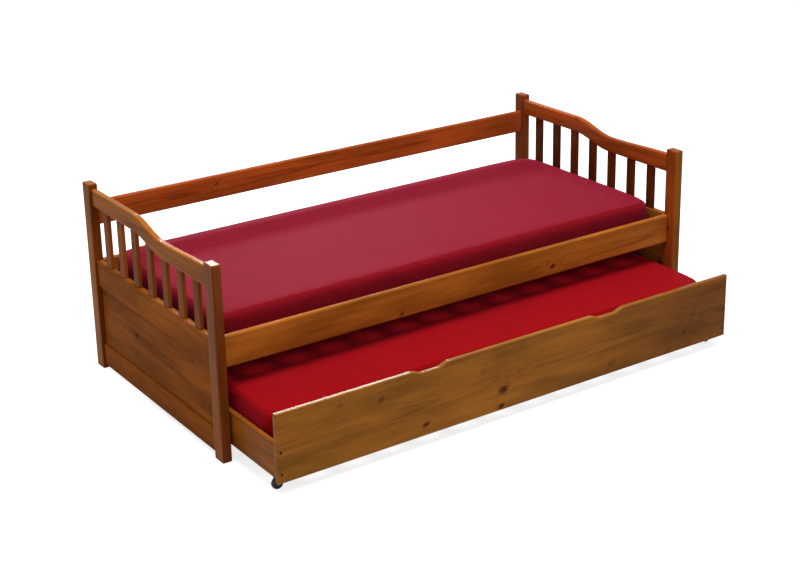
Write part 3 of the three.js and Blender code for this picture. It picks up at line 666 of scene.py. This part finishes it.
def rounded(x, y, half_x, half_y, radius):
    """A point of a square-cornered plan moved to the plan with round corners."""
    dx = abs(x) - (half_x - radius)
    dy = abs(y) - (half_y - radius)
    if dx <= 0 or dy <= 0:
        return x, y
    turned_x = dx * math.sqrt(1 - 0.5 * (dy / radius) ** 2)
    turned_y = dy * math.sqrt(1 - 0.5 * (dx / radius) ** 2)
    return (math.copysign(half_x - radius + turned_x, x), math.copysign(half_y - radius + turned_y, y))


def rise_from_edge(inset):
    """Height of the top panel at a distance in from the outline."""
    steps = (TOP_SEAM, *SHOULDER)
    for (a, low), (b, high) in zip(steps, steps[1:]):
        if inset <= b:
            return low + (high - low) * max(0.0, (inset - a) / (b - a))
    return steps[-1][1]


def ripple(x, y, scale, seed):
    """Smooth chance between -1 and 1 over the plan."""
    return noise.noise(Vector((x * scale, y * scale, seed)))


def droop(x, y, half_x, half_y):
    """Share of its height that the cover keeps at a point of its plan, less at the corners."""
    corner = math.hypot(half_x - abs(x), half_y - abs(y))
    return 1 - DROOP * math.exp(-(corner / DROOP_REACH) ** 2)


def cover_mesh(half_x, half_y, settings, seed):
    """Vertices and faces of a cover round its own middle, its seam line, and the points held still."""
    seam_inset = TOP_SEAM[0]
    rim = [inset - seam_inset for inset, _ in (TOP_SEAM, *SHOULDER)] + [INNER_RIM - seam_inset]
    top_x = spacing(half_x - seam_inset, settings.cell, rim)
    top_y = spacing(half_y - seam_inset, settings.cell, rim)
    radius = PLAN_RADIUS - seam_inset * 0.4
    columns, rows = len(top_x), len(top_y)
    vertices = []
    for y in top_y:
        for x in top_x:
            edge = min(half_x - abs(x), half_y - abs(y))
            px, py = rounded(x, y, half_x - seam_inset, half_y - seam_inset, radius)
            swell = math.cos(0.5 * math.pi * x / half_x) * math.cos(0.5 * math.pi * y / half_y)
            height = rise_from_edge(edge) + CROWN * min(1.0, 1.3 * swell)
            fade = min(1.0, max(0.0, (edge - seam_inset) / 0.05))
            height += settings.slack * 0.5 * fade * ripple(px, py, 3.1, seed)
            height += settings.slack * 0.25 * fade * ripple(px, py, 8.0, seed + 5)
            near = math.exp(-((edge - seam_inset - 0.012) / 0.014) ** 2)
            height += settings.pucker * near * ripple(px, py, 24.0, seed + 9)
            vertices.append((px, py, height * droop(px, py, half_x, half_y)))

    def at(column, row):
        return row * columns + column

    faces = [(at(c, r), at(c + 1, r), at(c + 1, r + 1), at(c, r + 1))
             for r in range(rows - 1) for c in range(columns - 1)]
    loop = [at(c, 0) for c in range(columns)] + [at(columns - 1, r) for r in range(1, rows)]
    loop += [at(c, rows - 1) for c in range(columns - 2, -1, -1)]
    loop += [at(0, r) for r in range(rows - 2, 0, -1)]
    flat = [(x, y) for y in top_y for x in top_x]
    upper = loop
    for inset, height in reversed(BAND):
        ring = []
        for index in loop:
            x, y = flat[index]
            x *= (half_x - inset) / (half_x - seam_inset)
            y *= (half_y - inset) / (half_y - seam_inset)
            px, py = rounded(x, y, half_x - inset, half_y - inset, PLAN_RADIUS - inset * 0.4)
            gather = math.exp(-((height - 0.086) / 0.010) ** 2)
            gather += 0.5 * math.exp(-((height - 0.016) / 0.008) ** 2)
            out = 1 + settings.pucker * gather * ripple(px, py, 22.0, seed + 3) / half_y
            out -= settings.slack * 0.3 * math.sin(math.pi * height / 0.1) * (
                0.5 + 0.5 * ripple(px, py, 6.0, seed + 7)) / half_y
            ring.append(len(vertices))
            vertices.append((px * out, py * out, height * droop(px, py, half_x, half_y)))
        count = len(loop)
        faces += [(ring[i], ring[(i + 1) % count], upper[(i + 1) % count], upper[i]) for i in range(count)]
        upper = ring
    base = {}
    inset = BAND[0][0] + 0.004
    for index, (x, y) in enumerate(flat):
        x *= (half_x - inset) / (half_x - seam_inset)
        y *= (half_y - inset) / (half_y - seam_inset)
        px, py = rounded(x, y, half_x - inset, half_y - inset, PLAN_RADIUS - inset * 0.4)
        base[index] = len(vertices)
        vertices.append((px, py, 0.0004))
    faces += [tuple(base[index] for index in reversed(face)) for face in faces[:(rows - 1) * (columns - 1)]]
    lowest = [base[index] for index in loop]
    count = len(loop)
    faces += [(lowest[i], lowest[(i + 1) % count], upper[(i + 1) % count], upper[i]) for i in range(count)]
    resting = [index for index, vertex in enumerate(vertices) if vertex[2] < RESTING_HEIGHT]
    return vertices, faces, loop, loop + resting


RESTING_HEIGHT = 5 * MM  # below this a cover lies on the slats and doesn't move
SETTLE_STEPS = 20


def settle_cloth(covers, held, settings):
    """Lets the covers billow between their seams as cloth, no point farther than the reach."""
    starts = [[vertex.co.copy() for vertex in cover.data.vertices] for cover in covers]
    for cover, points in zip(covers, held):
        cover.vertex_groups.new(name="seams").add(points, 1.0, "REPLACE")
        cloth = cover.modifiers.new("cloth", "CLOTH")
        cloth.settings.vertex_group_mass = "seams"
        cloth.settings.quality = 5
        cloth.settings.mass = 0.25
        cloth.settings.use_pressure = True
        cloth.settings.uniform_pressure_force = settings.pressure
        cloth.settings.shrink_min = -settings.ease
        cloth.settings.effector_weights.gravity = 0.0
        cloth.point_cache.frame_start = 1
        cloth.point_cache.frame_end = SETTLE_STEPS
    for step in range(1, SETTLE_STEPS + 1):
        bpy.context.scene.frame_set(step)
    graph = bpy.context.evaluated_depsgraph_get()
    evaluated = [cover.evaluated_get(graph) for cover in covers]
    settled = [[vertex.co.copy() for vertex in cover.data.vertices] for cover in evaluated]
    for cover, before, after in zip(covers, starts, settled):
        cover.modifiers.remove(cover.modifiers["cloth"])
        cover.vertex_groups.clear()
        for vertex, start, end in zip(cover.data.vertices, before, after):
            shift = end - start
            vertex.co = start + shift * min(1.0, settings.reach / max(shift.length, 0.001 * MM))
        cover.data.update()
    bpy.context.scene.frame_set(1)


def seam_tube(name, points, radius, material, body):
    """A closed welt along a seam line, as a mesh tube."""
    sides = 6
    count = len(points)
    vertices, faces = [], []
    for i, point in enumerate(points):
        along = (points[(i + 1) % count] - points[i - 1]).normalized()
        side = along.cross(Vector((0, 0, 1))).normalized()
        up = side.cross(along)
        for k in range(sides):
            angle = 2 * math.pi * k / sides
            vertices.append(point + radius * (math.cos(angle) * side + math.sin(angle) * up))
    for i in range(count):
        near = i * sides
        far = (i + 1) % count * sides
        for k in range(sides):
            after = (k + 1) % sides
            faces.append((near + k, near + after, far + after, far + k))
    return new_piece(name, vertices, faces, material, body)


def cotton_material(name, dye, bloom):
    """Dyed cotton, with a bluish bloom where it is seen at a slant."""
    material, graph, shader = start_material(
        name, **{"Roughness": 0.6, "Sheen Weight": bloom, "Sheen Roughness": 0.5,
                 "Sheen Tint": (0.7, 0.28, 0.9, 1.0), "Specular IOR Level": 0.014})
    weave = graph.group("Cotton weave", {})
    base = (*dye, 1.0)
    darker = (*(part * 0.72 for part in dye), 1.0)
    color = graph.mix(graph.math("MULTIPLY", weave["Slub"], 0.35), base, darker)
    color = graph.mix(graph.range(weave["Cloud"], 0.35, 0.75, 0.0, 0.25), color, darker)
    graph.feed(shader.inputs["Base Color"], color)
    height = graph.math("ADD", weave["Height"], graph.math("MULTIPLY", weave["Slub"], 1.4))
    raise_surface(graph, shader, height, 0.05 * MM)
    return material


# Operators

class CAPTAINSBED_OT_shader_groups(bpy.types.Operator):
    """Build the node groups that the materials share"""

    bl_idname = "captainsbed.shader_groups"
    bl_label = "Build Shader Groups"

    def execute(self, context):
        build_knot_group()
        build_scattered_knots_group()
        build_pine_group()
        build_glued_board_group()
        build_edge_wear_and_highlight_group()
        build_weave_group()
        return {"FINISHED"}


class CAPTAINSBED_OT_woodwork(bpy.types.Operator):
    """Stain and varnish every board and round its edges"""

    bl_idname = "captainsbed.woodwork"
    bl_label = "Finish Woodwork"

    def execute(self, context):
        for seed, node in enumerate(wooden_nodes()):
            dress(node, pine_material(node, seed))
            if node in SLATTED:
                add_tapes(node)
            else:
                round_edges(node, context.scene.bed_wood.rounding)
        return {"FINISHED"}


class CAPTAINSBED_OT_covers(bpy.types.Operator):
    """Sew the covers of the two mattresses"""

    bl_idname = "captainsbed.covers"
    bl_label = "Sew Mattress Covers"

    def execute(self, context):
        settings = context.scene.bed_cover
        mattresses = (
            ("bed_mattress", "bed_frame", cotton_material("cotton_with_painted_sheen", settings.cotton, 0.12)),
            ("trundle_mattress", "trundle", cotton_material("trundle_cotton_painted_lighter", settings.trundle_cotton_painted_lighter, 0.06)),
        )
        covers, held = [], []
        for seed, (node, body, material) in enumerate(mattresses):
            low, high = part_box(node)
            middle = (low + high) / 2
            half = (high - low) / 2
            vertices, faces, loop, still = cover_mesh(half.x, half.y, settings, 31.0 * seed + 2.0)
            base = Vector((middle.x, middle.y, low.z))
            placed = [base + Vector(vertex) for vertex in vertices]
            cover = new_piece(f"{node}_cover", placed, faces, material, body)
            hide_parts(node)
            seam = seam_tube(f"{node}_seam", [placed[index] for index in loop], 1.1 * MM, material, body)
            covers.append(cover)
            held.append(still)
        settle_cloth(covers, held, settings)
        return {"FINISHED"}


class CAPTAINSBED_OT_castors(bpy.types.Operator):
    """Finish the castors"""

    bl_idname = "captainsbed.castors"
    bl_label = "Finish Castors"

    def execute(self, context):
        steel, graph, shader = start_material("zinc_plate", **{"Metallic": 1.0})
        place = graph.place()
        spangle = graph.noise(graph.stretch(place, 260.0, 260.0), 3.0)
        color = graph.mix(spangle, (0.33, 0.33, 0.34, 1.0), (0.55, 0.55, 0.56, 1.0))
        graph.feed(shader.inputs["Base Color"], color)
        graph.feed(shader.inputs["Roughness"], graph.range(spangle, 0.3, 0.7, 0.28, 0.5))
        black, graph, shader = start_material("black_fork", **{"Metallic": 0.0, "Coat Weight": 0.3})
        place = graph.place()
        mottle = graph.noise(graph.stretch(place, 400.0, 400.0), 2.0)
        edge = graph.group("Edge wear and painted highlight", {"Reach": 1 * MM})["Edge"]
        color = graph.mix(edge, (0.012, 0.012, 0.012, 1), (0.09, 0.09, 0.09, 1))
        graph.feed(shader.inputs["Base Color"], color)
        graph.feed(shader.inputs["Roughness"], graph.range(mottle, 0.3, 0.7, 0.35, 0.55))
        rubber, graph, shader = start_material("black_tread", **{"Specular IOR Level": 0.4})
        place = graph.place()
        dust = graph.noise(graph.stretch(place, 120.0, 120.0), 4.0)
        dusty = graph.range(dust, 0.45, 0.8, 0.0, 0.5)
        color = graph.mix(dusty, (0.010, 0.010, 0.010, 1), (0.05, 0.045, 0.04, 1))
        graph.feed(shader.inputs["Base Color"], color)
        graph.feed(shader.inputs["Roughness"], graph.range(dust, 0.3, 0.8, 0.5, 0.8))
        for corner in CASTORS:
            dress(f"castor_plate_{corner}", steel)
            dress(f"castor_fork_{corner}", black)
            dress(f"castor_wheel_{corner}", rubber)
        return {"FINISHED"}


# Section of a fastener from its rim inwards: share of its radius, and height above the face it sits in
PLUG_SECTION = ((1.0, -0.3 * MM), (1.0, 0.15 * MM), (0.86, 0.4 * MM), (0.45, 0.55 * MM))
SCREW_SECTION = (
    (1.0, -0.2 * MM), (1.0, 0.5 * MM), (0.9, 1.1 * MM), (0.6, 1.5 * MM), (0.4, 1.55 * MM), (0.3, 0.8 * MM),
)
FASTENER_SIDES = 16
PLUG_ACROSS = 948 * MM
PLUG_HEIGHTS = (72 * MM, 147 * MM)
SCREW_ACROSS = 20.5 * MM
SCREW_ALONG = 15.5 * MM
PLATE_THICK = 2.5 * MM


def turned_rings(centre, outward, radius, section, first):
    """Vertices and faces of one round fastener turned about its axis, numbered from first."""
    axis = Vector(outward)
    side = axis.orthogonal().normalized()
    other = axis.cross(side)
    vertices = []
    for share, height in section:
        for k in range(FASTENER_SIDES):
            angle = 2 * math.pi * k / FASTENER_SIDES
            spoke = math.cos(angle) * side + math.sin(angle) * other
            vertices.append(Vector(centre) + spoke * share * radius + axis * height)
    faces = [tuple(first + k for k in reversed(range(FASTENER_SIDES)))]
    for ring in range(len(section) - 1):
        low = first + ring * FASTENER_SIDES
        high = low + FASTENER_SIDES
        for k in range(FASTENER_SIDES):
            after = (k + 1) % FASTENER_SIDES
            faces.append((low + k, low + after, high + after, high + k))
    last = first + (len(section) - 1) * FASTENER_SIDES
    faces.append(tuple(last + k for k in range(FASTENER_SIDES)))
    return vertices, faces


def fasteners(name, centres, outward, radius, section, material):
    """Like fasteners of the trundle, as one piece of separate solids."""
    vertices, faces = [], []
    for centre in centres:
        more_vertices, more_faces = turned_rings(centre, outward, radius, section, len(vertices))
        vertices += more_vertices
        faces += more_faces
    return new_piece(name, vertices, faces, material, "trundle", smooth=False)


def plug_material():
    """Dark wooden plugs over the screws."""
    material, graph, shader = start_material("dark_plug", **{"Specular IOR Level": 0.1})
    place = graph.place()
    grain = graph.noise(graph.stretch(place, 300.0, 900.0), 3.0)
    color = graph.mix(grain, (0.020, 0.007, 0.004, 1.0), (0.060, 0.020, 0.010, 1.0))
    graph.feed(shader.inputs["Base Color"], color)
    graph.feed(shader.inputs["Roughness"], graph.range(grain, 0.3, 0.7, 0.35, 0.55))
    return material


class CAPTAINSBED_OT_fasteners(bpy.types.Operator):
    """Fit the plugs of the trundle's front board and the screws of the castor plates"""

    bl_idname = "captainsbed.fasteners"
    bl_label = "Fit Fasteners"

    def execute(self, context):
        hardware = context.scene.bed_hardware
        plug = plug_material()
        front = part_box("trundle_front_board")[0].y
        for side, end in ((-1, "left"), (1, "right")):
            centres = [(side * PLUG_ACROSS, front, height) for height in PLUG_HEIGHTS]
            piece = fasteners(f"plugs_{end}", centres, (0, -1, 0), hardware.plug_radius, PLUG_SECTION, plug)
        steel = NODES["castor_plate_front_left"].material_slots[0].material
        for corner in CASTORS:
            low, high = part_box(f"castor_plate_{corner}")
            middle = (low + high) / 2
            under = high.z - PLATE_THICK
            centres = [(middle.x + x * SCREW_ACROSS, middle.y + y * SCREW_ALONG, under)
                       for x in (-1, 1) for y in (-1, 1)]
            piece = fasteners(
                f"castor_screws_{corner}", centres, (0, 0, -1), hardware.screw_radius, SCREW_SECTION, steel)
        return {"FINISHED"}


class CAPTAINSBED_OT_stage(bpy.types.Operator):
    """Lay the floor and set the lamps and the camera"""

    bl_idname = "captainsbed.stage"
    bl_label = "Set Up Studio"

    def execute(self, context):
        lay_floor()
        light_studio()
        place_camera(context.scene.bed_stage)
        return {"FINISHED"}


FLOOR_HALF = 30.0
FLOOR_GREY = (0.58, 0.58, 0.58, 1.0)


def seen_rays(graph):
    """One for rays that should find the pale studio: those of the camera, gloss and glass."""
    rays = graph.node("ShaderNodeLightPath").outputs
    seen = graph.math("MAXIMUM", rays["Is Camera Ray"], rays["Is Glossy Ray"])
    return graph.math("MAXIMUM", seen, rays["Is Transmission Ray"])


def lay_floor():
    """A pale floor that keeps the bed's shadow."""
    mesh = bpy.data.meshes.new("studio_floor")
    corners = ((-1, -1), (1, -1), (1, 1), (-1, 1))
    mesh.from_pydata([(x * FLOOR_HALF, y * FLOOR_HALF, 0.0) for x, y in corners], [], [(0, 1, 2, 3)])
    floor = bpy.data.objects.new("studio_floor", mesh)
    bpy.context.scene.collection.objects.link(floor)
    material = bpy.data.materials.new("studio_floor")
    material.use_nodes = True
    material.node_tree.nodes.clear()
    g = Graph(material.node_tree)
    diffuse = g.node("ShaderNodeBsdfDiffuse", {"Color": FLOOR_GREY})
    rays = g.node("ShaderNodeLightPath").outputs
    mirrored = g.math("MAXIMUM", rays["Is Glossy Ray"], rays["Is Transmission Ray"])
    strength = g.math("MULTIPLY_ADD", rays["Is Camera Ray"], 0.78, g.math("MULTIPLY", mirrored, 0.35))
    glow = g.node("ShaderNodeEmission", {"Color": (1, 1, 1, 1), "Strength": strength})
    both = g.node("ShaderNodeAddShader", {0: diffuse.outputs[0], 1: glow.outputs[0]})
    g.node("ShaderNodeOutputMaterial", {0: both.outputs[0]})
    mesh.materials.append(material)


def area_lamp(name, target, azimuth, elevation, distance, size, power, color=(1, 1, 1)):
    """A soft lamp that faces a target from an azimuth, measured from +Y towards +X, and a height."""
    light = bpy.data.lights.new(name, "AREA")
    light.shape = "RECTANGLE"
    light.size, light.size_y = size
    light.energy = power
    light.color = color
    lamp = bpy.data.objects.new(name, light)
    turn, rise = math.radians(azimuth), math.radians(elevation)
    away = Vector((math.sin(turn) * math.cos(rise), math.cos(turn) * math.cos(rise), math.sin(rise)))
    lamp.location = Vector(target) + away * distance
    lamp.rotation_mode = "QUATERNION"
    lamp.rotation_quaternion = away.to_track_quat("Z", "Y")
    lamp.visible_camera = False
    bpy.context.scene.collection.objects.link(lamp)


def light_studio():
    """A softbox behind the bed, a larger one above it and an even pale world."""
    area_lamp("back_softbox", (-0.3, 0.0, 0.35), 27, 28.5, 4.2, (1.6, 0.4), 76, (0.88, 0.94, 1.0))
    area_lamp("overhead_softbox", (0.0, 0.0, 0.35), 200, 76, 4.4, (3.6, 2.4), 175)
    world = bpy.data.worlds.new("studio")
    bpy.context.scene.world = world
    world.use_nodes = True
    world.node_tree.nodes.clear()
    g = Graph(world.node_tree)
    strength = g.math("MULTIPLY_ADD", seen_rays(g), 0.62, 0.38)
    background = g.node("ShaderNodeBackground", {"Color": (1, 1, 1, 1), "Strength": strength})
    g.node("ShaderNodeOutputWorld", {0: background.outputs[0]})


def place_camera(stage):
    """The camera where the photograph was taken from."""
    yaw, pitch, roll = stage.yaw, stage.pitch, stage.roll
    forward = Vector((math.sin(yaw) * math.cos(pitch), math.cos(yaw) * math.cos(pitch), math.sin(pitch)))
    level = Vector((math.cos(yaw), -math.sin(yaw), 0.0))
    upright = level.cross(forward)
    right = level * math.cos(roll) + upright * math.sin(roll)
    up = -level * math.sin(roll) + upright * math.cos(roll)
    data = bpy.data.cameras.new("camera")
    data.sensor_fit = "HORIZONTAL"
    data.sensor_width = 36.0
    data.lens = stage.lens
    data.shift_y = stage.lens_drop
    camera = bpy.data.objects.new("camera", data)
    turn = Matrix((right, up, -forward)).transposed().to_4x4()
    camera.matrix_world = Matrix.Translation(stage.camera_place) @ turn
    bpy.context.scene.collection.objects.link(camera)
    bpy.context.scene.camera = camera
    bpy.context.scene.view_settings.view_transform = "Standard"


class CAPTAINSBED_PT_panel(bpy.types.Panel):
    """Lists the steps that dress the bed"""

    bl_idname = "CAPTAINSBED_PT_panel"
    bl_label = "Captains Bed"
    bl_space_type = "VIEW_3D"
    bl_region_type = "UI"
    bl_category = "Captains Bed"

    def draw(self, context):
        for operator in OPERATORS:
            self.layout.operator(operator.bl_idname)
        for name in SETTINGS:
            self.layout.label(text=SETTINGS[name].__doc__)
            group = getattr(context.scene, name)
            for key in group.bl_rna.properties.keys():
                if key not in ("rna_type", "name"):
                    self.layout.prop(group, key)


SETTINGS = {
    "bed_wood": WoodSettings, "bed_cover": CoverSettings,
    "bed_hardware": HardwareSettings, "bed_stage": StageSettings,
}
OPERATORS = (
    CAPTAINSBED_OT_stage, CAPTAINSBED_OT_shader_groups, CAPTAINSBED_OT_woodwork, CAPTAINSBED_OT_covers,
    CAPTAINSBED_OT_castors, CAPTAINSBED_OT_fasteners,
)


def register():
    for cls in (*SETTINGS.values(), *OPERATORS, CAPTAINSBED_PT_panel):
        bpy.utils.register_class(cls)
    for name, cls in SETTINGS.items():
        setattr(bpy.types.Scene, name, bpy.props.PointerProperty(type=cls))


def unregister():
    for name in SETTINGS:
        delattr(bpy.types.Scene, name)
    for cls in reversed((*SETTINGS.values(), *OPERATORS, CAPTAINSBED_PT_panel)):
        bpy.utils.unregister_class(cls)


def main():
    register()
    for operator in OPERATORS:
        module, name = operator.bl_idname.split(".")
        getattr(getattr(bpy.ops, module), name)()


if __name__ == "__main__":
    main()
